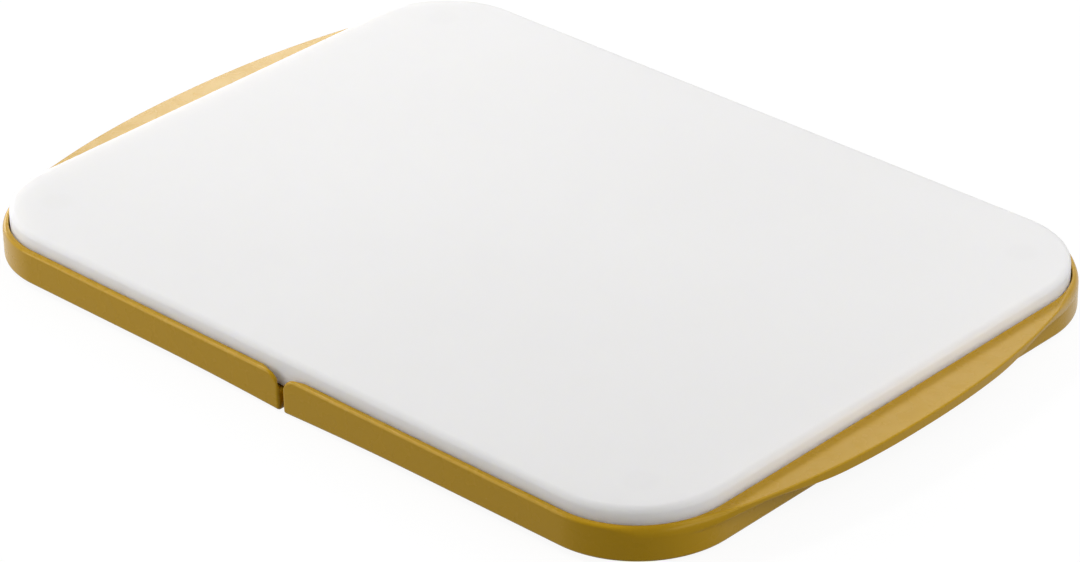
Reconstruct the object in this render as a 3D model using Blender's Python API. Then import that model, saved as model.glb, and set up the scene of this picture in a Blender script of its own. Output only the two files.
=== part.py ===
"""Cutting board that lies on two half trays.

The trays are alike and meet under the middle of the board.  Each one slides out along the board's length,
guided by the board's long edges, and has a lip to pull it by.  The board stands on four short feet on the
tray floors, and a tray's low end wall meets those feet at the end of its travel.

Metres.  Origin on the table under the middle of the board, +X along its length, +Z up.
"""
import math

import bmesh
import bpy

# Gap left between pieces that touch on the real object
TOUCH_GAP = 0.0003

# Trays: length of both when closed, without their lips
TRAY_LENGTH = 0.372
TRAY_WIDTH = 0.279
TRAY_CORNER_RADIUS = 0.0427
TRAY_WALL = 0.0026
TRAY_HEIGHT = 0.0144
TRAY_STAND = 0.0020
TRAY_FLOOR = 0.0018
TRAY_FLOOR_RAISE = 0.0006
TRAY_FLOOR_FILLET = 0.0020
TRAYS_APART = 0.0020

# Roundings of a tray's edges
RIM_OUTER_ROUND = 0.0010
RIM_INNER_ROUND = 0.0008
RIM_LEAST_FLAT = 0.0003
LOWER_EDGE_ROUND = 0.0010

# Stretch where the rim's outer edge is softer, from part way round a corner to where the lip stands out
SOFT_START_DEGREES = 25
SOFT_FULL_DEGREES = 45
SOFT_UNTIL_REACH = 0.0010
SOFT_GONE_REACH = 0.0040

# Free end of a tray, where the rim sweeps down to a low end wall that passes under the board
END_WALL_RISE = 0.0046
END_SWEEP_RUN = 0.0072
END_OUTER_CORNER = 0.0014
END_INNER_CORNER = 0.0026

# The long walls curve down towards the table at their free ends
SKIRT_TABLE_GAP = 0.00035
SKIRT_RUN = 0.075

# Pull lip: an arc on the short side that fades into the corners, hollow behind its edge
LIP_REACH = 0.0144
LIP_FADE = 0.0110
LIP_EDGE_HEIGHT = 0.0042
LIP_EDGE_WALL = 0.0022
LIP_HOLLOW_REACH = 0.0060
LIP_RING_STEP = 0.0002

# Board
BOARD_CLEARANCE = 0.0006
BOARD_THICKNESS = 0.0132
BOARD_ABOVE_RIM = 0.0065
BOARD_TOP_ROUND = 0.0025
BOARD_BOTTOM_ROUND = 0.0008

# Feet under the board, plugged into blind sockets
BOARD_FOOT_INSET = 0.0250
BOARD_FOOT_RADIUS = 0.0070
BOARD_FOOT_CHAMFER = 0.0008
BOARD_FOOT_STEM_RADIUS = 0.0040
BOARD_FOOT_SOCKET_DEPTH = 0.0040

# Feet under a tray, seated in shallow pockets
TRAY_FOOT_RADIUS = 0.0060
TRAY_FOOT_CHAMFER = 0.0006
TRAY_FOOT_POCKET_DEPTH = 0.0008
TRAY_FOOT_END_DISTANCE = 0.0200

# How finely curves are divided
CORNER_STEPS = 12
END_CORNER_STEPS = 4
LIP_STEPS = 26
SWEEP_STEPS = 6
SKIRT_STEPS = 5
ROUND_STEPS = 2
FOOT_SIDES = 20
SHARP_DEGREES = 35

# Finishes: linear red, green and blue, and roughness
BOARD_FINISH = (0.82, 0.81, 0.79, 0.45)
TRAY_FINISH = (0.46, 0.29, 0.055, 0.40)
FOOT_FINISH = (0.42, 0.41, 0.39, 0.70)

# Sizes that follow from the ones above
HALF_LENGTH = TRAY_LENGTH / 2
HALF_WIDTH = TRAY_WIDTH / 2
END_FACE_X = TRAYS_APART / 2
CORNER_X = HALF_LENGTH - TRAY_CORNER_RADIUS
CORNER_Y = HALF_WIDTH - TRAY_CORNER_RADIUS
RIM_Z = TRAY_STAND + TRAY_HEIGHT
FLOOR_UNDER_Z = TRAY_STAND + TRAY_FLOOR_RAISE
FLOOR_Z = FLOOR_UNDER_Z + TRAY_FLOOR
END_WALL_Z = FLOOR_Z + END_WALL_RISE
END_SWEEP_DROP = RIM_Z - END_WALL_Z
SOFT_RIM_IN = TRAY_WALL - RIM_INNER_ROUND - RIM_LEAST_FLAT
SOFT_RIM_DOWN = LIP_EDGE_HEIGHT - LIP_RING_STEP
SKIRT_DROP = TRAY_STAND - SKIRT_TABLE_GAP
LIP_FADE_START = CORNER_Y - LIP_FADE
BOARD_HALF_LENGTH = HALF_LENGTH - TRAY_WALL - BOARD_CLEARANCE
BOARD_HALF_WIDTH = HALF_WIDTH - TRAY_WALL - BOARD_CLEARANCE
BOARD_CORNER_RADIUS = TRAY_CORNER_RADIUS - TRAY_WALL - BOARD_CLEARANCE
BOARD_TOP_Z = RIM_Z + BOARD_ABOVE_RIM
BOARD_UNDER_Z = BOARD_TOP_Z - BOARD_THICKNESS
BOARD_FOOT_X = BOARD_HALF_LENGTH - BOARD_FOOT_INSET
BOARD_FOOT_Y = BOARD_HALF_WIDTH - BOARD_FOOT_INSET


def spaced(start, end, steps):
    """Evenly spaced values from start to end, both included."""
    return [start + (end - start) * k / steps for k in range(steps + 1)]


def arc(center_x, center_y, radius, start_degrees, end_degrees, steps):
    """Points on an arc, both ends included."""
    angles = [math.radians(a) for a in spaced(start_degrees, end_degrees, steps)]
    return [(center_x + radius * math.cos(a), center_y + radius * math.sin(a)) for a in angles]


def quarter(radius, steps=ROUND_STEPS):
    """Sideways and upward shares of a quarter round, from its flat end to its upright end."""
    angles = [math.radians(a) for a in spaced(0, 90, steps)]
    return [(radius * (1 - math.sin(a)), radius * (1 - math.cos(a))) for a in angles]


def long_side_shares():
    """Places along a tray's long side, as shares of its straight run, close together at its free end."""
    start = END_FACE_X + END_OUTER_CORNER
    sweep = spaced(start, END_FACE_X + END_SWEEP_RUN, SWEEP_STEPS)
    skirt = spaced(END_FACE_X + END_SWEEP_RUN, END_FACE_X + SKIRT_RUN, SKIRT_STEPS)
    places = sweep[1:] + skirt[1:]
    return [(x - start) / (CORNER_X - start) for x in places]


def tray_outline(inset, end_corner):
    """Half tray in plan, drawn in by inset all round, anticlockwise from its front free corner."""
    end_x = END_FACE_X + inset + end_corner
    end_y = HALF_WIDTH - inset - end_corner
    side_y = HALF_WIDTH - inset
    corner = TRAY_CORNER_RADIUS - inset
    run = [end_x + share * (CORNER_X - end_x) for share in long_side_shares()]
    across = spaced(-CORNER_Y, CORNER_Y, LIP_STEPS)[1:-1]
    points = arc(end_x, -end_y, end_corner, 180, 270, END_CORNER_STEPS)
    points += [(x, -side_y) for x in run]
    points += arc(CORNER_X, -CORNER_Y, corner, 270, 360, CORNER_STEPS)
    points += [(HALF_LENGTH - inset, y) for y in across]
    points += arc(CORNER_X, CORNER_Y, corner, 0, 90, CORNER_STEPS)
    points += [(x, side_y) for x in reversed(run)]
    points += arc(end_x, end_y, end_corner, 90, 180, END_CORNER_STEPS)
    return points


def outer_outline(inset):
    """Plan of the tray's outside, with the small outer radius at the free corners."""
    return tray_outline(inset, END_OUTER_CORNER - inset)


def inner_outline(inset):
    """Plan of the tray's inside, with the inner radius at the free corners."""
    return tray_outline(inset, END_INNER_CORNER + TRAY_WALL - inset)


def rim_height(x):
    """Top of the wall: level, and swept down in a quarter ellipse at the free end."""
    share = max(1 - (x - END_FACE_X) / END_SWEEP_RUN, 0)
    return RIM_Z - END_SWEEP_DROP * (1 - math.sqrt(max(1 - share ** 2, 0)))


def lower_height(x):
    """Lower edge of the wall, which curves down towards the free end."""
    share = 1 - (x - END_FACE_X) / SKIRT_RUN
    return TRAY_STAND - SKIRT_DROP * max(share, 0) ** 2


def lip_reach(y):
    """How far the lip stands out at a place across the tray: an arc with faded ends."""
    radius = (CORNER_Y ** 2 + LIP_REACH ** 2) / (2 * LIP_REACH)
    away = min(abs(y), LIP_FADE_START)
    reach = math.sqrt(radius ** 2 - away ** 2) - (radius - LIP_REACH)
    if abs(y) <= LIP_FADE_START:
        return reach
    slope = away / math.sqrt(radius ** 2 - away ** 2)
    fade_length = 2 * reach / slope
    return reach * max(1 - (abs(y) - away) / fade_length, 0) ** 2


def eased(value, start, end):
    """0 up to start, 1 from end on, and a smooth change between."""
    share = min(max((value - start) / (end - start), 0), 1)
    return share * share * (3 - 2 * share)


def rim_softness(x, y, out):
    """How soft the rim's outer edge is: 0 on the long sides and on the lip, 1 between them."""
    turned = math.degrees(math.atan2(x - CORNER_X, max(abs(y) - CORNER_Y, 0)))
    on_lip = eased(out, SOFT_UNTIL_REACH, SOFT_GONE_REACH)
    return eased(turned, SOFT_START_DEGREES, SOFT_FULL_DEGREES) * (1 - on_lip)


def at_heights(points, heights):
    """A ring of points with a height for each."""
    return [(x, y, z) for (x, y), z in zip(points, heights)]


def raised(heights, amount):
    """Heights with the same amount added to each."""
    return [z + amount for z in heights]


def lip_under_rings(outside, rim, reach):
    """Four rings under the lip: its root, its hollow's outer edge, and the inner and outer foot of its edge.

    Where there is no lip they climb the wall in small steps, and between they blend from one to the other.
    """
    hollow = [min(out / LIP_HOLLOW_REACH, 1) for out in reach]
    corners = (
        (False, 0, TRAY_WALL),
        (True, LIP_EDGE_WALL, TRAY_WALL),
        (True, LIP_EDGE_WALL, LIP_EDGE_HEIGHT),
        (True, 0, LIP_EDGE_HEIGHT),
    )
    rings = []
    for number, (at_edge, back, drop) in enumerate(corners):
        plain_drop = LIP_EDGE_HEIGHT + (len(corners) - 1 - number) * LIP_RING_STEP
        ring = []
        for (x, y), top, out, share in zip(outside, rim, reach, hollow):
            place = x + out - share * back if at_edge else x
            ring.append((place, y, top - plain_drop * (1 - share) - drop * share))
        rings.append(ring)
    return rings


def under_board(points, heights):
    """Heights of the rim's inner side, which steps down to the end wall where the board passes over it."""
    side_y = HALF_WIDTH - TRAY_WALL - TOUCH_GAP / 2
    low = [x < CORNER_X and abs(y) < side_y for x, y in points]
    return [END_WALL_Z if passes else z for passes, z in zip(low, heights)]


def rim_edge_rings(outside, rim, reach):
    """Rings over the rounded outer edge of the rim and the lip, from the wall to the flat top."""
    drawn_in = outer_outline(RIM_OUTER_ROUND)
    soft = [rim_softness(x, y, out) for (x, y), out in zip(outside, reach)]
    rings = []
    for inward, downward in reversed(quarter(1)):
        ring = []
        for (x, y), (in_x, in_y), top, out, share in zip(outside, drawn_in, rim, reach, soft):
            inset = inward * (1 + share * (SOFT_RIM_IN / RIM_OUTER_ROUND - 1))
            drop = downward * (RIM_OUTER_ROUND + share * (SOFT_RIM_DOWN - RIM_OUTER_ROUND))
            ring.append((x + (in_x - x) * inset + out, y + (in_y - y) * inset, top - drop))
        rings.append(ring)
    return rings


def tray_rings():
    """Rings from the tray's underside, up the outside, over the rim and down to its floor."""
    outside = outer_outline(0)
    rim = [rim_height(x) for x, y in outside]
    lower = [lower_height(x) for x, y in outside]
    reach = [lip_reach(y) if x > CORNER_X else 0 for x, y in outside]
    level = [0.0] * len(outside)
    rings = [at_heights(inner_outline(TRAY_WALL + TRAY_FLOOR_RAISE), raised(level, FLOOR_UNDER_Z))]
    rings.append(at_heights(inner_outline(TRAY_WALL), lower))
    for inset, rise in quarter(LOWER_EDGE_ROUND):
        rings.append(at_heights(outer_outline(inset), raised(lower, rise)))
    rings += lip_under_rings(outside, rim, reach)
    rings += rim_edge_rings(outside, rim, reach)
    for inset, rise in quarter(RIM_INNER_ROUND):
        edge = inner_outline(TRAY_WALL - inset)
        rings.append(at_heights(edge, raised(under_board(edge, rim), -rise)))
    for rise, inset in quarter(TRAY_FLOOR_FILLET):
        rings.append(at_heights(inner_outline(TRAY_WALL + inset), raised(level, FLOOR_Z + rise)))
    return rings


def board_outline(inset):
    """Plan of the board, drawn in by inset all round, anticlockwise."""
    center_x = BOARD_HALF_LENGTH - BOARD_CORNER_RADIUS
    center_y = BOARD_HALF_WIDTH - BOARD_CORNER_RADIUS
    radius = BOARD_CORNER_RADIUS - inset
    points = []
    for side_x, side_y, start in ((1, -1, 270), (1, 1, 0), (-1, 1, 90), (-1, -1, 180)):
        points += arc(side_x * center_x, side_y * center_y, radius, start, start + 90, CORNER_STEPS)
    return points


def board_rings():
    """Rings of the slab from its underside to its cutting surface."""
    rings = []
    for inset, rise in quarter(BOARD_BOTTOM_ROUND):
        rings.append([(x, y, BOARD_UNDER_Z + rise) for x, y in board_outline(inset)])
    for inset, rise in reversed(quarter(BOARD_TOP_ROUND, ROUND_STEPS + 1)):
        rings.append([(x, y, BOARD_TOP_Z - rise) for x, y in board_outline(inset)])
    return rings


def turned_rings(profile, sides):
    """Rings of a shape turned about its own upright axis, from (radius, height) pairs, bottom to top."""
    turns = [2 * math.pi * k / sides for k in range(sides)]
    return [[(r * math.cos(t), r * math.sin(t), z) for t in turns] for r, z in profile]


def add_body(shape, rings):
    """Adds a closed body to a bmesh: rings of equal count, anticlockwise from the lowest, and two caps."""
    verts = [[shape.verts.new(point) for point in ring] for ring in rings]
    for low, high in zip(verts, verts[1:]):
        for k, vert in enumerate(low):
            after = (k + 1) % len(low)
            shape.faces.new((vert, low[after], high[after], high[k]))
    shape.faces.new(list(reversed(verts[0])))
    shape.faces.new(verts[-1])


def bodies_mesh(name, bodies):
    """Mesh of one or more closed bodies, each given as its rings."""
    mesh = bpy.data.meshes.new(name)
    shape = bmesh.new()
    for rings in bodies:
        add_body(shape, rings)
    shape.to_mesh(mesh)
    shape.free()
    mesh.shade_smooth()
    mesh.set_sharp_from_angle(angle=math.radians(SHARP_DEGREES))
    return mesh


def plastic(name, finish):
    """Principled material of a named sub-part."""
    *colour, roughness = finish
    material = bpy.data.materials.new(name + "_material")
    material.use_nodes = True
    shader = material.node_tree.nodes["Principled BSDF"]
    shader.inputs["Base Color"].default_value = (*colour, 1)
    shader.inputs["Roughness"].default_value = roughness
    shader.inputs["Metallic"].default_value = 0
    return material


def add_piece(name, mesh, finish, location=(0, 0, 0), parent=None):
    """One object of the model, with its own material."""
    piece = bpy.data.objects.new(name, mesh)
    piece.location = location
    piece.parent = parent
    bpy.context.scene.collection.objects.link(piece)
    if not mesh.materials:
        mesh.materials.append(None)
    piece.material_slots[0].link = "OBJECT"
    piece.material_slots[0].material = plastic(name, finish)
    return piece


def cut_holes(piece, places, radius, low_z, high_z):
    """Cuts round holes with flat ends into a piece, between two heights, at places in its own plan."""
    upright = turned_rings([(radius, low_z), (radius, high_z)], FOOT_SIDES)
    bodies = [[[(x + px, y + py, z) for px, py, z in ring] for ring in upright] for x, y in places]
    name = piece.name + "_hole_cutter"
    cutter = bpy.data.objects.new(name, bodies_mesh(name, bodies))
    cutter.parent = piece.parent
    cutter.hide_render = True
    cutter.display_type = "WIRE"
    bpy.context.scene.collection.objects.link(cutter)
    modifier = piece.modifiers.new("holes", "BOOLEAN")
    modifier.operation = "DIFFERENCE"
    modifier.solver = "EXACT"
    modifier.object = cutter


def board_foot_mesh():
    """Foot with a stem that plugs into the board's socket; its origin is at the middle of its sole."""
    pad_height = BOARD_UNDER_Z - FLOOR_Z - 2 * TOUCH_GAP
    profile = [
        (BOARD_FOOT_RADIUS - BOARD_FOOT_CHAMFER, 0),
        (BOARD_FOOT_RADIUS, BOARD_FOOT_CHAMFER),
        (BOARD_FOOT_RADIUS, pad_height),
        (BOARD_FOOT_STEM_RADIUS, pad_height),
        (BOARD_FOOT_STEM_RADIUS, pad_height + BOARD_FOOT_SOCKET_DEPTH),
    ]
    return bodies_mesh("board_foot", [turned_rings(profile, FOOT_SIDES)])


def tray_foot_mesh():
    """Round pad that sits in a pocket of the tray's underside; its origin is on the table."""
    top = FLOOR_UNDER_Z + TRAY_FOOT_POCKET_DEPTH - TOUCH_GAP
    profile = [
        (TRAY_FOOT_RADIUS - TRAY_FOOT_CHAMFER, 0),
        (TRAY_FOOT_RADIUS, TRAY_FOOT_CHAMFER),
        (TRAY_FOOT_RADIUS, top),
    ]
    return bodies_mesh("tray_foot", [turned_rings(profile, FOOT_SIDES)])


def add_board():
    """The slab and the four feet plugged into it."""
    board = add_piece("cutting_board", bodies_mesh("cutting_board", [board_rings()]), BOARD_FINISH)
    foot = board_foot_mesh()
    places = []
    for end, side_x in (("left", -1), ("right", 1)):
        for depth, side_y in (("front", -1), ("back", 1)):
            place = (side_x * BOARD_FOOT_X, side_y * BOARD_FOOT_Y)
            places.append(place)
            sole = (*place, FLOOR_Z + TOUCH_GAP)
            add_piece(f"board_foot_{end}_{depth}", foot, FOOT_FINISH, sole)
    socket_radius = BOARD_FOOT_STEM_RADIUS + TOUCH_GAP
    below = BOARD_UNDER_Z - BOARD_FOOT_SOCKET_DEPTH
    cut_holes(board, places, socket_radius, below, BOARD_UNDER_Z + BOARD_FOOT_SOCKET_DEPTH)


def add_tray(side, turn):
    """One half tray with its four feet, carried by an empty on its slide axis."""
    slide = bpy.data.objects.new(f"{side}_tray_slide", None)
    slide.rotation_euler = (0, 0, turn)
    bpy.context.scene.collection.objects.link(slide)
    tray = add_piece(f"{side}_tray", bodies_mesh(f"{side}_tray", [tray_rings()]), TRAY_FINISH, parent=slide)
    foot = tray_foot_mesh()
    places = []
    for end, x in (("inner", END_FACE_X + TRAY_FOOT_END_DISTANCE), ("outer", BOARD_FOOT_X)):
        for y in (-BOARD_FOOT_Y, BOARD_FOOT_Y):
            places.append((x, y))
            depth = "front" if y * math.cos(turn) < 0 else "back"
            add_piece(f"{side}_tray_foot_{end}_{depth}", foot, FOOT_FINISH, (x, y, 0), slide)
    pocket_radius = TRAY_FOOT_RADIUS + TOUCH_GAP
    cut_holes(tray, places, pocket_radius, 0, FLOOR_UNDER_Z + TRAY_FOOT_POCKET_DEPTH)


def clear_scene():
    """Removes whatever the scene holds, so that only the model is left."""
    for thing in list(bpy.data.objects):
        bpy.data.objects.remove(thing, do_unlink=True)


def main():
    clear_scene()
    add_board()
    add_tray("right", 0)
    add_tray("left", math.pi)
    bpy.context.view_layer.update()


main()
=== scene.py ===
"""Looks of a cutting board that lies on two slide-out half trays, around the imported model.

Metres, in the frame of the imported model: origin on the table under the middle of the board, +X along its
length, +Z up.  The right tray is modelled in fine detail, and the left one is the same turned half round.
"""
import math

import bmesh
import bpy
from mathutils import Matrix, Vector


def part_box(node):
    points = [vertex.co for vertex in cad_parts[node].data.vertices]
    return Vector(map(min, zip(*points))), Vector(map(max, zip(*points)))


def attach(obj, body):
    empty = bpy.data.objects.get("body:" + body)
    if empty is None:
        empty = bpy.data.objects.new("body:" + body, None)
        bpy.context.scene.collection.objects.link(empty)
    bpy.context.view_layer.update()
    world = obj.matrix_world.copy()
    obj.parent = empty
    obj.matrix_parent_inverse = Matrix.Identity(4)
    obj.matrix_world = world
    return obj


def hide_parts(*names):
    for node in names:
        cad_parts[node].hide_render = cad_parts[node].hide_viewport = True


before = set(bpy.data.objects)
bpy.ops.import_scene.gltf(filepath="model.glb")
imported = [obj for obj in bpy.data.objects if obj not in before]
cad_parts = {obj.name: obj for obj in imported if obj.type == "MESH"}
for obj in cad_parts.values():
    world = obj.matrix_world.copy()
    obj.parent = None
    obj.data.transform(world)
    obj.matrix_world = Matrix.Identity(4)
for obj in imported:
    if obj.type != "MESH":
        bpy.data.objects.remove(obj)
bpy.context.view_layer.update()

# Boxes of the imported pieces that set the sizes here
TRAY_LOW, TRAY_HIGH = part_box("right_tray")
BOARD_LOW, BOARD_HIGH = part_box("cutting_board")
BOARD_FOOT_LOW, BOARD_FOOT_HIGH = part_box("board_foot_right_back")
TRAY_FOOT_LOW, TRAY_FOOT_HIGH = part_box("right_tray_foot_inner_back")

# Gap that the model keeps between pieces that touch
TOUCH_GAP = 0.0003

# Trays
CORNER_RADIUS = 0.0427
WALL = 0.0026
STAND = 0.0020
FLOOR_RAISE = 0.0006
FLOOR_THICKNESS = 0.0018
FLOOR_FILLET = 0.0020
FOOT_POCKET_DEPTH = 0.0008
END_WALL_RISE = 0.0046
END_SWEEP_RUN = 0.0072
END_OUTER_CORNER = 0.0014
END_INNER_CORNER = 0.0026
SKIRT_RUN = 0.075
RIM_OUTER_ROUND = 0.0012
RIM_INNER_ROUND = 0.0004
RIM_LEAST_FLAT = 0.0003
LOWER_EDGE_ROUND = 0.0013

# Stretch where the rim's outer edge is softer, from part way round a corner to where the lip stands out
SOFT_START_DEGREES = 25
SOFT_FULL_DEGREES = 45
SOFT_GONE_REACH = 0.0040

# Pull lip: its reach in its middle, and how that falls off to its ends, where a fullness of 2 is an arc
LIP_REACH = 0.0144
LIP_HALF_LENGTH = 0.1060
LIP_FULLNESS = 2.2
LIP_FADE = 0.0080

# Edge of the lip: its full and its least height, the reaches between which it changes, and its roundings
LIP_EDGE_HEIGHT = 0.0042
LIP_EDGE_LEAST = 0.0018
LIP_THIN_REACH = 0.0070
LIP_FULL_REACH = 0.0125
LIP_EDGE_ROUND = 0.0003
LIP_TOP_ROUND = 0.0007

# Hollow under the lip, and the steps in which its rings climb the wall where there is no lip
LIP_EDGE_WALL = 0.0022
LIP_HOLLOW_REACH = 0.0060
LIP_RING_STEP = 0.0002

# Board
BOARD_TOP_ROUND = 0.0025
BOARD_BOTTOM_ROUND = 0.0008

# Feet
STEM_RADIUS = 0.0040
SOCKET_DEPTH = 0.0040
FOOT_SOLE_ROUND = 0.0008
FOOT_TOP_ROUND = 0.0004

# How finely curves are divided
CORNER_STEPS = 36
END_CORNER_STEPS = 8
LIP_STEPS = 100
SWEEP_STEPS = 18
SKIRT_STEPS = 16
LONG_SIDE_STEPS = 6
ROUND_STEPS = 6
SMALL_ROUND_STEPS = 3
BOARD_ROUND_STEPS = 8
TURN_STEPS = 64
SHARP_DEGREES = 35

# Sizes that follow from the ones above
HALF_LENGTH = TRAY_HIGH.x - LIP_REACH
HALF_WIDTH = TRAY_HIGH.y
END_FACE_X = TRAY_LOW.x
CORNER_X = HALF_LENGTH - CORNER_RADIUS
CORNER_Y = HALF_WIDTH - CORNER_RADIUS
RIM_Z = TRAY_HIGH.z
FLOOR_UNDER_Z = STAND + FLOOR_RAISE
FLOOR_Z = FLOOR_UNDER_Z + FLOOR_THICKNESS
END_WALL_Z = FLOOR_Z + END_WALL_RISE
END_SWEEP_DROP = RIM_Z - END_WALL_Z
SOFT_RIM_IN = WALL - RIM_INNER_ROUND - RIM_LEAST_FLAT
SOFT_RIM_DOWN = LIP_EDGE_HEIGHT - LIP_RING_STEP
SKIRT_DROP = STAND - TRAY_LOW.z
LIP_FADE_START = LIP_HALF_LENGTH - LIP_FADE
BOARD_CORNER_RADIUS = CORNER_RADIUS - (HALF_WIDTH - BOARD_HIGH.y)
FOOT_PLACE = (BOARD_FOOT_LOW + BOARD_FOOT_HIGH) / 2
PAD_RADIUS = (BOARD_FOOT_HIGH.x - BOARD_FOOT_LOW.x) / 2
INNER_FOOT_PLACE = (TRAY_FOOT_LOW + TRAY_FOOT_HIGH) / 2
TRAY_FOOT_RADIUS = (TRAY_FOOT_HIGH.x - TRAY_FOOT_LOW.x) / 2

# Camera, worked out from the photograph's edges: degrees, metres and the photograph's pixels, with the
# sensor's width in millimetres
PHOTO_WIDTH = 1080
PHOTO_HEIGHT = 562
CAMERA_AZIMUTH = 43.756
CAMERA_ELEVATION = 29.664
CAMERA_ROLL = -1.142
CAMERA_DISTANCE = 1.7235
CAMERA_TARGET = Vector((0.00746, -0.00901, 0.0020))
FOCAL_PIXELS = 4351.75
OPTICAL_CENTRE_X = 531.2
OPTICAL_CENTRE_Y = 287.1
SENSOR_WIDTH = 36

# Light from all round, and softboxes with their place, their size and the level at which they light a white
# surface that faces them; each faces the middle, or the target given
WORLD_LEVEL = 0.20
MIDDLE = Vector((0, 0, 0))
FAR_LIP = Vector((-0.19, 0.03, 0.016))
NEAR_LIP = Vector((0.19, 0, 0.016))
SOFTBOXES = {
    "key": dict(azimuth=292, elevation=50, distance=1.3, width=0.26, height=0.26, level=0.31),
    "left": dict(azimuth=266, elevation=10, distance=1.5, width=0.8, height=0.4, level=0.19),
    "front_left": dict(azimuth=322, elevation=11, distance=1.5, width=0.8, height=0.4, level=0.42),
    "front_right": dict(azimuth=84, elevation=10, distance=1.5, width=0.8, height=0.4, level=0.16),
    "right": dict(azimuth=105, elevation=40, distance=1.0, width=0.67, height=0.53, level=0.32),
    "back": dict(azimuth=170, elevation=40, distance=0.8, width=0.64, height=0.43, level=0.19),
    "far_lip": dict(
        azimuth=226, elevation=28, distance=0.9, width=0.34, height=0.31, level=0.215, target=FAR_LIP
    ),
    "near_lip": dict(
        azimuth=218, elevation=31, distance=1.5, width=0.46, height=0.31, level=0.04, target=NEAR_LIP
    ),
}

# Floor and surroundings
WHITE = (1, 1, 1, 1)
FLOOR_ALBEDO = 0.10
FLOOR_GLOW = 0.92
FLOOR_HALF_SIZE = 4.0
FLOOR_DROP = 0.0001

# Levels between which noise mostly lies
NOISE_LOW = 0.3
NOISE_HIGH = 0.7

# Plastic of the trays: two tones mixed by flow marks, and a fine grain over a ripple. Noise is given in
# features a metre, and its bumps by their depth.
MUSTARD_DARKER = (0.500, 0.282, 0.0025)
MUSTARD_LIGHTER = (0.525, 0.297, 0.004)
MUSTARD_FLOW = 14
MUSTARD_FLOW_DETAIL = 3
MUSTARD_FLOW_STRETCH = (1, 2.5, 2.5)
MUSTARD_GRAIN = 1600
MUSTARD_GRAIN_DEPTH = 0.000003
MUSTARD_RIPPLE = 120
MUSTARD_RIPPLE_DEPTH = 0.00002
MUSTARD_ROUGHNESS = (0.24, 0.30)
MUSTARD_GLOSS = 0.30
MUSTARD_GLOSS_TINT = (1.0, 0.86, 0.45, 1)

# Plastic of the board: two tones mixed by cloudy patches, a lighter colour on its sides, which is painted
# light for the light that comes out at its edges, and how far light spreads inside it, in all and as shares
# of red, green and blue
WHITE_LIGHTER = (0.855, 0.850, 0.845)
WHITE_DARKER = (0.825, 0.818, 0.812)
WHITE_SIDES_PAINTED_LIGHT = (0.970, 0.962, 0.950)
WHITE_CLOUD = 9
WHITE_CLOUD_DETAIL = 3
WHITE_GRAIN = 1100
WHITE_GRAIN_DEPTH = 0.000008
WHITE_RIPPLE = 160
WHITE_RIPPLE_DEPTH = 0.00002
WHITE_ROUGHNESS = (0.50, 0.56)
WHITE_GLOSS = 0.22
WHITE_SPREAD = 0.0120
WHITE_SPREAD_SHARES = (1.0, 1.0, 0.9)

# Upward part of the direction that the board's surface faces, where it counts as level and as a side that
# gets the painted light
LEVEL_FACE = 0.9
SIDE_FACE = 0.1

# Faint marks of the feet that show through the board
SPOT_RADIUS = 0.0064
SPOT_SOFTNESS = 0.0020
SPOT_SHARE = 0.35

# Soft plastic of the feet: two tones mixed by specks
GREY_DARKER = (0.34, 0.335, 0.32)
GREY_LIGHTER = (0.38, 0.375, 0.36)
GREY_SPECK = 900
GREY_SPECK_DEPTH = 0.00003
GREY_ROUGHNESS = (0.66, 0.78)


def spaced(start, end, steps):
    """Evenly spaced values from start to end, both included."""
    return [start + (end - start) * k / steps for k in range(steps + 1)]


def arc(center_x, center_y, radius, start_degrees, end_degrees, steps):
    """Points on an arc, both ends included."""
    angles = [math.radians(a) for a in spaced(start_degrees, end_degrees, steps)]
    return [(center_x + radius * math.cos(a), center_y + radius * math.sin(a)) for a in angles]


def quarter(radius, steps=ROUND_STEPS):
    """How far in and how far up the points of a quarter round lie, from its level end to its upright end."""
    angles = [math.radians(a) for a in spaced(0, 90, steps)]
    return [(radius * (1 - math.sin(a)), radius * (1 - math.cos(a))) for a in angles]


def eased(value, start, end):
    """0 up to start, 1 from end on, and a smooth change between."""
    share = min(max((value - start) / (end - start), 0), 1)
    return share * share * (3 - 2 * share)


def long_side_shares():
    """Places along a tray's long side, as shares of its straight run, close together at its free end."""
    start = END_FACE_X + END_OUTER_CORNER
    sweep_end = END_FACE_X + END_SWEEP_RUN
    skirt_end = END_FACE_X + SKIRT_RUN
    places = spaced(start, sweep_end, SWEEP_STEPS)[1:]
    places += spaced(sweep_end, skirt_end, SKIRT_STEPS)[1:]
    places += spaced(skirt_end, CORNER_X, LONG_SIDE_STEPS)[1:-1]
    return [(x - start) / (CORNER_X - start) for x in places]


def tray_outline(inset, end_corner):
    """Half tray in plan, drawn in by inset all round, anticlockwise from its front free corner."""
    end_x = END_FACE_X + inset + end_corner
    end_y = HALF_WIDTH - inset - end_corner
    side_y = HALF_WIDTH - inset
    corner = CORNER_RADIUS - inset
    run = [end_x + share * (CORNER_X - end_x) for share in long_side_shares()]
    across = spaced(-CORNER_Y, CORNER_Y, LIP_STEPS)[1:-1]
    points = arc(end_x, -end_y, end_corner, 180, 270, END_CORNER_STEPS)
    points += [(x, -side_y) for x in run]
    points += arc(CORNER_X, -CORNER_Y, corner, 270, 360, CORNER_STEPS)
    points += [(HALF_LENGTH - inset, y) for y in across]
    points += arc(CORNER_X, CORNER_Y, corner, 0, 90, CORNER_STEPS)
    points += [(x, side_y) for x in reversed(run)]
    points += arc(end_x, end_y, end_corner, 90, 180, END_CORNER_STEPS)
    return points


def outer_outline(inset):
    """Plan of the tray's outside, with the small outer radius at the free corners."""
    return tray_outline(inset, END_OUTER_CORNER - inset)


def inner_outline(inset):
    """Plan of the tray's inside, with the inner radius at the free corners."""
    return tray_outline(inset, END_INNER_CORNER + WALL - inset)


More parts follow.
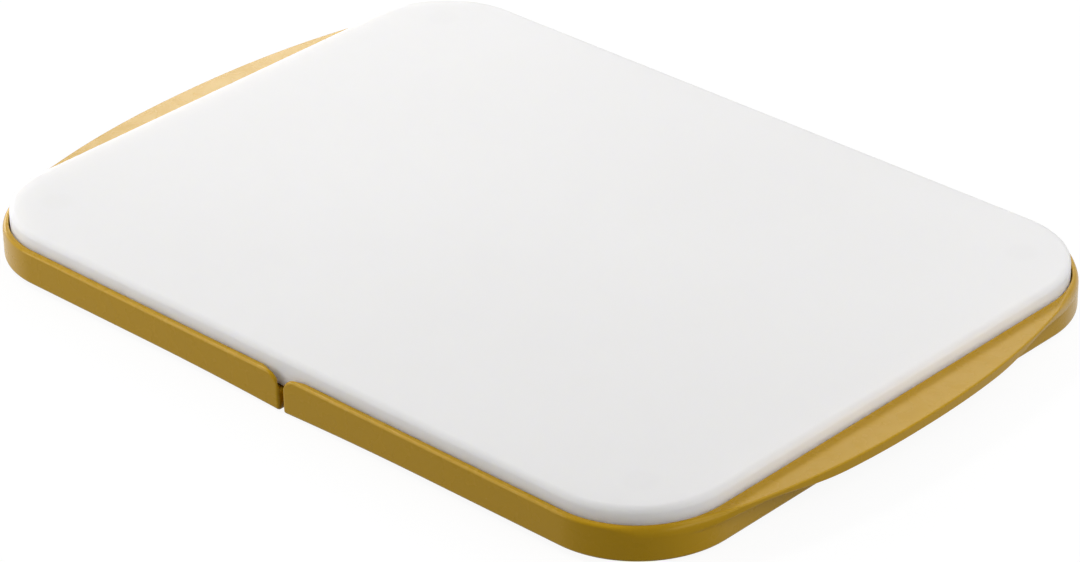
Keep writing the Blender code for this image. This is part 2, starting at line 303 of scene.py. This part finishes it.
def rim_height(x):
    """Top of the wall: level, and swept down in a quarter ellipse at the free end."""
    share = max(1 - (x - END_FACE_X) / END_SWEEP_RUN, 0)
    return RIM_Z - END_SWEEP_DROP * (1 - math.sqrt(max(1 - share ** 2, 0)))


def lower_height(x):
    """Lower edge of the wall, which curves down towards the free end."""
    share = 1 - (x - END_FACE_X) / SKIRT_RUN
    return STAND - SKIRT_DROP * max(share, 0) ** 2


def lip_reach(y):
    """How far the lip stands out at a place across the tray: a little fuller than an arc, with faded ends."""
    away = min(abs(y), LIP_FADE_START)
    share = away / LIP_HALF_LENGTH
    reach = LIP_REACH * (1 - share ** LIP_FULLNESS)
    if abs(y) <= LIP_FADE_START:
        return reach
    slope = LIP_REACH * LIP_FULLNESS * share ** (LIP_FULLNESS - 1) / LIP_HALF_LENGTH
    fade_length = 2 * reach / slope
    return reach * max(1 - (abs(y) - away) / fade_length, 0) ** 2


def on_lip(out):
    """0 where there is no lip, 1 where it stands out far enough to have its own edge."""
    return eased(out, 0, SOFT_GONE_REACH)


def rim_softness(x, y, out):
    """How soft the rim's outer edge is: 0 on the long sides and on the lip, 1 between them."""
    turned = math.degrees(math.atan2(x - CORNER_X, max(abs(y) - CORNER_Y, 0)))
    return eased(turned, SOFT_START_DEGREES, SOFT_FULL_DEGREES) * (1 - on_lip(out))


def lip_edge_height(out):
    """Height of the lip's edge: full in its middle, and less towards its ends, where it stands out less."""
    share = eased(out, LIP_THIN_REACH, LIP_FULL_REACH)
    return LIP_EDGE_LEAST + share * (LIP_EDGE_HEIGHT - LIP_EDGE_LEAST)


def at_heights(points, heights):
    """A ring of points with a height for each."""
    return [(x, y, z) for (x, y), z in zip(points, heights)]


def raised(heights, amount):
    """Heights with the same amount added to each."""
    return [z + amount for z in heights]


def lip_under_corners(reach):
    """Rings under the lip, each as: whether it is at the lip's edge, how far behind it, and how far down."""
    root_drops = [WALL] * len(reach)
    edge_drops = [lip_edge_height(out) for out in reach]
    hollow_drops = [min(WALL, drop) for drop in edge_drops]
    corners = [(False, 0, root_drops), (True, LIP_EDGE_WALL, hollow_drops), (True, LIP_EDGE_WALL, edge_drops)]
    for back, rise in quarter(LIP_EDGE_ROUND, SMALL_ROUND_STEPS):
        corners.append((True, back, raised(edge_drops, -rise)))
    return corners


def lip_under_rings(outside, rim, reach):
    """Rings under the lip: its root, its hollow's outer edge, and the foot of its edge with its rounding.

    Where there is no lip they climb the wall in small steps, and between they blend from one to the other.
    """
    hollow = [min(out / LIP_HOLLOW_REACH, 1) for out in reach]
    corners = lip_under_corners(reach)
    rings = []
    for number, (at_edge, back, drops) in enumerate(corners):
        plain_drop = LIP_EDGE_HEIGHT + (len(corners) - 1 - number) * LIP_RING_STEP
        ring = []
        for (x, y), top, out, share, drop in zip(outside, rim, reach, hollow, drops):
            place = x + out - share * back if at_edge else x
            ring.append((place, y, top - plain_drop * (1 - share) - drop * share))
        rings.append(ring)
    return rings


def under_board(points, heights):
    """Heights of the rim's inner side, which steps down to the end wall where the board passes over it."""
    side_y = HALF_WIDTH - WALL - TOUCH_GAP / 2
    low = [x < CORNER_X and abs(y) < side_y for x, y in points]
    return [END_WALL_Z if passes else z for passes, z in zip(low, heights)]


def rim_edge_rings(outside, rim, reach):
    """Rings over the rounded outer edge of the rim and the lip, from the wall to the flat top."""
    drawn_in = outer_outline(RIM_OUTER_ROUND)
    soft = [rim_softness(x, y, out) for (x, y), out in zip(outside, reach)]
    rings = []
    for inward, downward in reversed(quarter(1)):
        ring = []
        for (x, y), (in_x, in_y), top, out, share in zip(outside, drawn_in, rim, reach, soft):
            size = RIM_OUTER_ROUND + on_lip(out) * (LIP_TOP_ROUND - RIM_OUTER_ROUND)
            inset = inward * (size + share * (SOFT_RIM_IN - size)) / RIM_OUTER_ROUND
            drop = downward * (size + share * (SOFT_RIM_DOWN - size))
            ring.append((x + (in_x - x) * inset + out, y + (in_y - y) * inset, top - drop))
        rings.append(ring)
    return rings


def tray_rings():
    """Rings from the tray's underside, up the outside, over the rim and down to its floor."""
    outside = outer_outline(0)
    rim = [rim_height(x) for x, y in outside]
    lower = [lower_height(x) for x, y in outside]
    reach = [lip_reach(y) if x > CORNER_X else 0 for x, y in outside]
    level = [0.0] * len(outside)
    rings = [at_heights(inner_outline(WALL + FLOOR_RAISE), raised(level, FLOOR_UNDER_Z))]
    rings.append(at_heights(inner_outline(WALL), lower))
    for inset, rise in quarter(LOWER_EDGE_ROUND):
        rings.append(at_heights(outer_outline(inset), raised(lower, rise)))
    rings += lip_under_rings(outside, rim, reach)
    rings += rim_edge_rings(outside, rim, reach)
    for inset, rise in quarter(RIM_INNER_ROUND):
        edge = inner_outline(WALL - inset)
        rings.append(at_heights(edge, raised(under_board(edge, rim), -rise)))
    for rise, inset in quarter(FLOOR_FILLET):
        rings.append(at_heights(inner_outline(WALL + inset), raised(level, FLOOR_Z + rise)))
    return rings


def board_outline(inset):
    """Plan of the board, drawn in by inset all round, anticlockwise."""
    center_x = BOARD_HIGH.x - BOARD_CORNER_RADIUS
    center_y = BOARD_HIGH.y - BOARD_CORNER_RADIUS
    radius = BOARD_CORNER_RADIUS - inset
    points = []
    for side_x, side_y, start in ((1, -1, 270), (1, 1, 0), (-1, 1, 90), (-1, -1, 180)):
        points += arc(side_x * center_x, side_y * center_y, radius, start, start + 90, CORNER_STEPS)
    return points


def board_rings():
    """Rings of the slab from its underside to its cutting surface."""
    rings = []
    for inset, rise in quarter(BOARD_BOTTOM_ROUND):
        rings.append([(x, y, BOARD_LOW.z + rise) for x, y in board_outline(inset)])
    for inset, rise in reversed(quarter(BOARD_TOP_ROUND, BOARD_ROUND_STEPS)):
        rings.append([(x, y, BOARD_HIGH.z - rise) for x, y in board_outline(inset)])
    return rings


def turned_rings(profile):
    """Rings of a shape turned about its own upright axis, from (radius, height) pairs, bottom to top."""
    turns = [2 * math.pi * k / TURN_STEPS for k in range(TURN_STEPS)]
    return [[(r * math.cos(t), r * math.sin(t), z) for t in turns] for r, z in profile]


def disc_sole(radius, low):
    """Profile of a disc's rounded lower edge, bottom to top."""
    return [(radius - back, low + rise) for back, rise in quarter(FOOT_SOLE_ROUND, SMALL_ROUND_STEPS)]


def disc_top(radius, high):
    """Profile of a disc's rounded upper edge, bottom to top."""
    steps = reversed(quarter(FOOT_TOP_ROUND, SMALL_ROUND_STEPS))
    return [(radius - back, high - rise) for back, rise in steps]


def add_body(shape, rings):
    """Adds a closed body to a bmesh: rings of equal count, anticlockwise from the lowest, and two caps."""
    verts = [[shape.verts.new(point) for point in ring] for ring in rings]
    for low, high in zip(verts, verts[1:]):
        for k, vert in enumerate(low):
            after = (k + 1) % len(low)
            shape.faces.new((vert, low[after], high[after], high[k]))
    shape.faces.new(list(reversed(verts[0])))
    shape.faces.new(verts[-1])


def rings_mesh(name, rings):
    """Mesh of one closed body given as its rings."""
    mesh = bpy.data.meshes.new(name)
    shape = bmesh.new()
    add_body(shape, rings)
    shape.to_mesh(mesh)
    shape.free()
    return mesh


def add_object(name, data):
    """An object in the scene, with its mesh, lamp or camera data."""
    thing = bpy.data.objects.new(name, data)
    bpy.context.scene.collection.objects.link(thing)
    return thing


def apply_modifiers(piece):
    """Replaces a piece's mesh by what its modifiers make of it."""
    depsgraph = bpy.context.evaluated_depsgraph_get()
    made = bpy.data.meshes.new_from_object(piece.evaluated_get(depsgraph))
    piece.modifiers.clear()
    piece.data = made


def cut_holes(piece, places, radius, low_z, high_z):
    """Cuts round holes with flat ends into a piece, between two heights, at places in plan."""
    for x, y in places:
        upright = turned_rings([(radius, low_z), (radius, high_z)])
        cutter = add_object("hole_cutter", rings_mesh("hole_cutter", upright))
        cutter.location = (x, y, 0)
        modifier = piece.modifiers.new("hole", "BOOLEAN")
        modifier.operation = "DIFFERENCE"
        modifier.solver = "EXACT"
        modifier.object = cutter
        apply_modifiers(piece)
        bpy.data.objects.remove(cutter, do_unlink=True)


def smooth(piece):
    """Shades a piece smooth between sharp edges, with its flat faces kept flat."""
    piece.data.shade_smooth()
    piece.data.set_sharp_from_angle(angle=math.radians(SHARP_DEGREES))
    modifier = piece.modifiers.new("flat_faces", "WEIGHTED_NORMAL")
    modifier.mode = "FACE_AREA"
    modifier.keep_sharp = True


def finish_piece(piece, material, body, node):
    """Shades a piece, gives it its material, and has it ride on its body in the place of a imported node."""
    smooth(piece)
    piece.data.materials.clear()
    piece.data.materials.append(material)
    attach(piece, body)
    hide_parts(node)


def add_board(material):
    """The slab, with a socket for the stem of each foot."""
    board = add_object("cutting_board_slab", rings_mesh("cutting_board_slab", board_rings()))
    places = [(side_x * FOOT_PLACE.x, side_y * FOOT_PLACE.y) for side_x in (-1, 1) for side_y in (-1, 1)]
    cut_holes(board, places, STEM_RADIUS + TOUCH_GAP, BOARD_LOW.z - SOCKET_DEPTH, BOARD_LOW.z + SOCKET_DEPTH)
    finish_piece(board, material, "board", "cutting_board")


def add_board_feet(material):
    """The four feet plugged into the board, each a pad with a stem."""
    pad_top = BOARD_LOW.z - TOUCH_GAP
    profile = disc_sole(PAD_RADIUS, BOARD_FOOT_LOW.z) + disc_top(PAD_RADIUS, pad_top)
    profile += [(STEM_RADIUS, pad_top)] + disc_top(STEM_RADIUS, BOARD_FOOT_HIGH.z)
    for end, side_x in (("left", -1), ("right", 1)):
        for depth, side_y in (("front", -1), ("back", 1)):
            node = f"board_foot_{end}_{depth}"
            foot = add_object(node + "_plug", rings_mesh(node + "_plug", turned_rings(profile)))
            foot.data.transform(Matrix.Translation((side_x * FOOT_PLACE.x, side_y * FOOT_PLACE.y, 0)))
            finish_piece(foot, material, "board", node)


def tray_foot_places():
    """Places in plan of the right tray's feet."""
    return [(x, y) for x in (INNER_FOOT_PLACE.x, FOOT_PLACE.x) for y in (-FOOT_PLACE.y, FOOT_PLACE.y)]


def add_tray_shell(side, turning, material):
    """One half tray, with a pocket under it for each of its feet."""
    body = f"{side}_tray"
    tray = add_object(body + "_shell", rings_mesh(body + "_shell", tray_rings()))
    pocket_top = FLOOR_UNDER_Z + FOOT_POCKET_DEPTH
    cut_holes(tray, tray_foot_places(), TRAY_FOOT_RADIUS + TOUCH_GAP, 0, pocket_top)
    tray.data.transform(turning)
    finish_piece(tray, material, body, body)


def add_tray_feet(side, turning, material):
    """The four pads under one half tray."""
    body = f"{side}_tray"
    profile = disc_sole(TRAY_FOOT_RADIUS, TRAY_FOOT_LOW.z) + disc_top(TRAY_FOOT_RADIUS, TRAY_FOOT_HIGH.z)
    for x, y in tray_foot_places():
        end = "inner" if x < FOOT_PLACE.x else "outer"
        depth = "front" if (turning @ Vector((x, y, 0))).y < 0 else "back"
        node = f"{body}_foot_{end}_{depth}"
        foot = add_object(node + "_pad", rings_mesh(node + "_pad", turned_rings(profile)))
        foot.data.transform(turning @ Matrix.Translation((x, y, 0)))
        finish_piece(foot, material, body, node)


def add_tray(side, turn, material, foot_material):
    """One half tray with its feet: the right one, turned by an angle about the middle."""
    turning = Matrix.Rotation(turn, 4, "Z")
    add_tray_shell(side, turning, material)
    add_tray_feet(side, turning, foot_material)


def new_material(name):
    """An empty node material, with its tree and its Principled shader."""
    material = bpy.data.materials.new(name)
    material.use_nodes = True
    return material, material.node_tree, material.node_tree.nodes["Principled BSDF"]


def combined(tree, operation, first, second=None, level=0.0):
    """One step of arithmetic on a value, with a second value or else with a level."""
    node = tree.nodes.new("ShaderNodeMath")
    node.operation = operation
    tree.links.new(first, node.inputs[0])
    if second is None:
        node.inputs[1].default_value = level
    else:
        tree.links.new(second, node.inputs[1])
    return node.outputs[0]


def noise(tree, scale, detail=2.0, stretch=(1, 1, 1)):
    """Noise over the piece's own coordinates, in features a metre."""
    place = tree.nodes.new("ShaderNodeTexCoord")
    mapping = tree.nodes.new("ShaderNodeMapping")
    mapping.inputs["Scale"].default_value = stretch
    texture = tree.nodes.new("ShaderNodeTexNoise")
    texture.inputs["Scale"].default_value = scale
    texture.inputs["Detail"].default_value = detail
    tree.links.new(place.outputs["Object"], mapping.inputs["Vector"])
    tree.links.new(mapping.outputs["Vector"], texture.inputs["Vector"])
    return texture.outputs["Fac"]


def spread(tree, value, low, high):
    """Noise spread between two levels."""
    node = tree.nodes.new("ShaderNodeMapRange")
    node.inputs["From Min"].default_value = NOISE_LOW
    node.inputs["From Max"].default_value = NOISE_HIGH
    node.inputs["To Min"].default_value = low
    node.inputs["To Max"].default_value = high
    tree.links.new(value, node.inputs["Value"])
    return node.outputs["Result"]


def faded(tree, value, start, end):
    """0 where a value is at start, 1 where it is at end, and a smooth change between."""
    node = tree.nodes.new("ShaderNodeMapRange")
    node.interpolation_type = "SMOOTHSTEP"
    node.inputs["From Min"].default_value = start
    node.inputs["From Max"].default_value = end
    tree.links.new(value, node.inputs["Value"])
    return node.outputs["Result"]


def two_tones(tree, share, first, second):
    """A colour between two, by a 0 to 1 share; the first may be a node's colour."""
    mix = tree.nodes.new("ShaderNodeMix")
    mix.data_type = "RGBA"
    if isinstance(first, tuple):
        mix.inputs["A"].default_value = (*first, 1)
    else:
        tree.links.new(first, mix.inputs["A"])
    mix.inputs["B"].default_value = (*second, 1)
    tree.links.new(share, mix.inputs["Factor"])
    return mix.outputs["Result"]


def bump(tree, height, depth, under=None):
    """A bump of a real depth in metres, over another one if there is one."""
    node = tree.nodes.new("ShaderNodeBump")
    node.inputs["Distance"].default_value = depth
    tree.links.new(height, node.inputs["Height"])
    if under:
        tree.links.new(under, node.inputs["Normal"])
    return node.outputs["Normal"]


def tray_material():
    """Satin mustard plastic with a fine moulded grain and faint flow marks."""
    material, tree, shader = new_material("mustard_plastic")
    flow = noise(tree, MUSTARD_FLOW, detail=MUSTARD_FLOW_DETAIL, stretch=MUSTARD_FLOW_STRETCH)
    grain = noise(tree, MUSTARD_GRAIN)
    ripple = noise(tree, MUSTARD_RIPPLE)
    rippled = bump(tree, ripple, MUSTARD_RIPPLE_DEPTH)
    tree.links.new(two_tones(tree, flow, MUSTARD_DARKER, MUSTARD_LIGHTER), shader.inputs["Base Color"])
    tree.links.new(spread(tree, ripple, *MUSTARD_ROUGHNESS), shader.inputs["Roughness"])
    tree.links.new(bump(tree, grain, MUSTARD_GRAIN_DEPTH, rippled), shader.inputs["Normal"])
    shader.inputs["Specular IOR Level"].default_value = MUSTARD_GLOSS
    shader.inputs["Specular Tint"].default_value = MUSTARD_GLOSS_TINT
    return material


def near_feet(tree):
    """1 over each of the board's four feet and 0 away from them, seen in plan."""
    place = tree.nodes.new("ShaderNodeTexCoord")
    parts = tree.nodes.new("ShaderNodeSeparateXYZ")
    tree.links.new(place.outputs["Object"], parts.inputs[0])
    squares = []
    for axis, middle in (("X", FOOT_PLACE.x), ("Y", FOOT_PLACE.y)):
        side = combined(tree, "ABSOLUTE", parts.outputs[axis])
        away = combined(tree, "SUBTRACT", side, level=middle)
        squares.append(combined(tree, "MULTIPLY", away, away))
    distance = combined(tree, "SQRT", combined(tree, "ADD", squares[0], squares[1]))
    return faded(tree, distance, SPOT_RADIUS + SPOT_SOFTNESS, SPOT_RADIUS - SPOT_SOFTNESS)


def painted_side_light_share(tree):
    """1 on upright sides and 0 on level faces, by the way the surface faces: where the sides get painted
    light.
    """
    surface = tree.nodes.new("ShaderNodeNewGeometry")
    parts = tree.nodes.new("ShaderNodeSeparateXYZ")
    tree.links.new(surface.outputs["Normal"], parts.inputs[0])
    return faded(tree, combined(tree, "ABSOLUTE", parts.outputs["Z"]), LEVEL_FACE, SIDE_FACE)


def board_material():
    """Satin white polyethylene, a little cloudy, with painted light that makes its sides lighter, and the
    feet just showing through.
    """
    material, tree, shader = new_material("white_polyethylene")
    cloud = noise(tree, WHITE_CLOUD, detail=WHITE_CLOUD_DETAIL)
    grain = noise(tree, WHITE_GRAIN)
    ripple = noise(tree, WHITE_RIPPLE)
    rippled = bump(tree, ripple, WHITE_RIPPLE_DEPTH)
    shade = combined(tree, "ADD", cloud, combined(tree, "MULTIPLY", near_feet(tree), level=SPOT_SHARE))
    faces = two_tones(tree, shade, WHITE_LIGHTER, WHITE_DARKER)
    # Painted light: the upright sides get a lighter colour, for light that comes out at the board's edges.
    tree.links.new(two_tones(tree, painted_side_light_share(tree), faces, WHITE_SIDES_PAINTED_LIGHT), shader.inputs["Base Color"])
    tree.links.new(spread(tree, ripple, *WHITE_ROUGHNESS), shader.inputs["Roughness"])
    tree.links.new(bump(tree, grain, WHITE_GRAIN_DEPTH, rippled), shader.inputs["Normal"])
    shader.inputs["Specular IOR Level"].default_value = WHITE_GLOSS
    shader.inputs["Subsurface Weight"].default_value = 1.0
    shader.inputs["Subsurface Radius"].default_value = WHITE_SPREAD_SHARES
    shader.inputs["Subsurface Scale"].default_value = WHITE_SPREAD
    return material


def foot_material():
    """Matt pale grey soft plastic."""
    material, tree, shader = new_material("grey_soft_plastic")
    speck = noise(tree, GREY_SPECK)
    tree.links.new(two_tones(tree, speck, GREY_DARKER, GREY_LIGHTER), shader.inputs["Base Color"])
    tree.links.new(spread(tree, speck, *GREY_ROUGHNESS), shader.inputs["Roughness"])
    tree.links.new(bump(tree, speck, GREY_SPECK_DEPTH), shader.inputs["Normal"])
    return material


def seen_directly(tree):
    """1 for what the camera sees directly or in gloss and glass, and 0 for what only lights the scene."""
    path = tree.nodes.new("ShaderNodeLightPath")
    opaque = combined(tree, "MAXIMUM", path.outputs["Is Camera Ray"], path.outputs["Is Glossy Ray"])
    return combined(tree, "MAXIMUM", opaque, path.outputs["Is Transmission Ray"])


def floor_material():
    """Floor that shows white, keeps the object's shadow, and bounces a plain level of light."""
    material = bpy.data.materials.new("floor")
    material.use_nodes = True
    tree = material.node_tree
    tree.nodes.clear()
    lit = tree.nodes.new("ShaderNodeBsdfDiffuse")
    lit.inputs["Color"].default_value = (FLOOR_ALBEDO, FLOOR_ALBEDO, FLOOR_ALBEDO, 1)
    glow = tree.nodes.new("ShaderNodeEmission")
    glow.inputs["Strength"].default_value = FLOOR_GLOW
    both = tree.nodes.new("ShaderNodeAddShader")
    choice = tree.nodes.new("ShaderNodeMixShader")
    output = tree.nodes.new("ShaderNodeOutputMaterial")
    tree.links.new(lit.outputs[0], both.inputs[0])
    tree.links.new(glow.outputs[0], both.inputs[1])
    tree.links.new(seen_directly(tree), choice.inputs[0])
    tree.links.new(lit.outputs[0], choice.inputs[1])
    tree.links.new(both.outputs[0], choice.inputs[2])
    tree.links.new(choice.outputs[0], output.inputs["Surface"])
    return material


def add_floor():
    """Level floor under the object."""
    half = FLOOR_HALF_SIZE
    corners = [(-half, -half, 0), (half, -half, 0), (half, half, 0), (-half, half, 0)]
    mesh = bpy.data.meshes.new("floor")
    mesh.from_pydata(corners, [], [(0, 1, 2, 3)])
    floor = add_object("floor", mesh)
    floor.location.z = -FLOOR_DROP
    floor.data.materials.append(floor_material())


def add_world():
    """White surroundings to look at, and a plain level of light from all round."""
    world = bpy.data.worlds.new("studio")
    bpy.context.scene.world = world
    world.use_nodes = True
    tree = world.node_tree
    tree.nodes.clear()
    seen = tree.nodes.new("ShaderNodeBackground")
    seen.inputs["Strength"].default_value = 1.0
    lighting = tree.nodes.new("ShaderNodeBackground")
    lighting.inputs["Strength"].default_value = WORLD_LEVEL
    for background in (seen, lighting):
        background.inputs["Color"].default_value = WHITE
    choice = tree.nodes.new("ShaderNodeMixShader")
    output = tree.nodes.new("ShaderNodeOutputWorld")
    tree.links.new(seen_directly(tree), choice.inputs[0])
    tree.links.new(lighting.outputs[0], choice.inputs[1])
    tree.links.new(seen.outputs[0], choice.inputs[2])
    tree.links.new(choice.outputs[0], output.inputs["Surface"])


def direction(azimuth, elevation):
    """Unit vector towards a place round the object: azimuth 0 is the front, 90 the right; degrees."""
    around = math.radians(azimuth)
    up = math.radians(elevation)
    return Vector((math.sin(around) * math.cos(up), -math.cos(around) * math.cos(up), math.sin(up)))


def add_softbox(name, azimuth, elevation, distance, width, height, level, target=MIDDLE):
    """Flat rectangular lamp that faces a place and lights a white surface there, turned to it, to a level."""
    lamp = bpy.data.lights.new(name, "AREA")
    lamp.shape = "RECTANGLE"
    lamp.size = width
    lamp.size_y = height
    lamp.energy = level * (math.pi * distance) ** 2
    thing = add_object(name, lamp)
    away = direction(azimuth, elevation)
    thing.location = target + away * distance
    thing.rotation_euler = away.to_track_quat("Z", "Y").to_euler()


def add_lights():
    """The softboxes round the object."""
    for name, box in SOFTBOXES.items():
        add_softbox(name + "_softbox", **box)


def add_camera():
    """Camera at the photograph's viewing angle."""
    back = direction(CAMERA_AZIMUTH, CAMERA_ELEVATION)
    azimuth = math.radians(CAMERA_AZIMUTH)
    level = Vector((math.cos(azimuth), math.sin(azimuth), 0))
    upright = back.cross(level)
    roll = math.radians(CAMERA_ROLL)
    right = level * math.cos(roll) + upright * math.sin(roll)
    up = upright * math.cos(roll) - level * math.sin(roll)
    data = bpy.data.cameras.new("camera")
    data.sensor_width = SENSOR_WIDTH
    data.lens = FOCAL_PIXELS / PHOTO_WIDTH * SENSOR_WIDTH
    data.shift_x = (PHOTO_WIDTH / 2 - OPTICAL_CENTRE_X) / PHOTO_WIDTH
    data.shift_y = (OPTICAL_CENTRE_Y - PHOTO_HEIGHT / 2) / PHOTO_WIDTH
    camera = add_object("camera", data)
    turn = Matrix((right, up, back)).transposed().to_4x4()
    camera.matrix_world = Matrix.Translation(CAMERA_TARGET + back * CAMERA_DISTANCE) @ turn
    bpy.context.scene.camera = camera


def main():
    """Camera, surroundings and lamps, and then the board, its feet and the two trays."""
    add_camera()
    add_world()
    add_floor()
    add_lights()
    mustard = tray_material()
    grey = foot_material()
    add_board(board_material())
    add_board_feet(grey)
    add_tray("right", 0, mustard, grey)
    add_tray("left", math.pi, mustard, grey)
    bpy.context.scene.view_settings.view_transform = "Standard"


main()
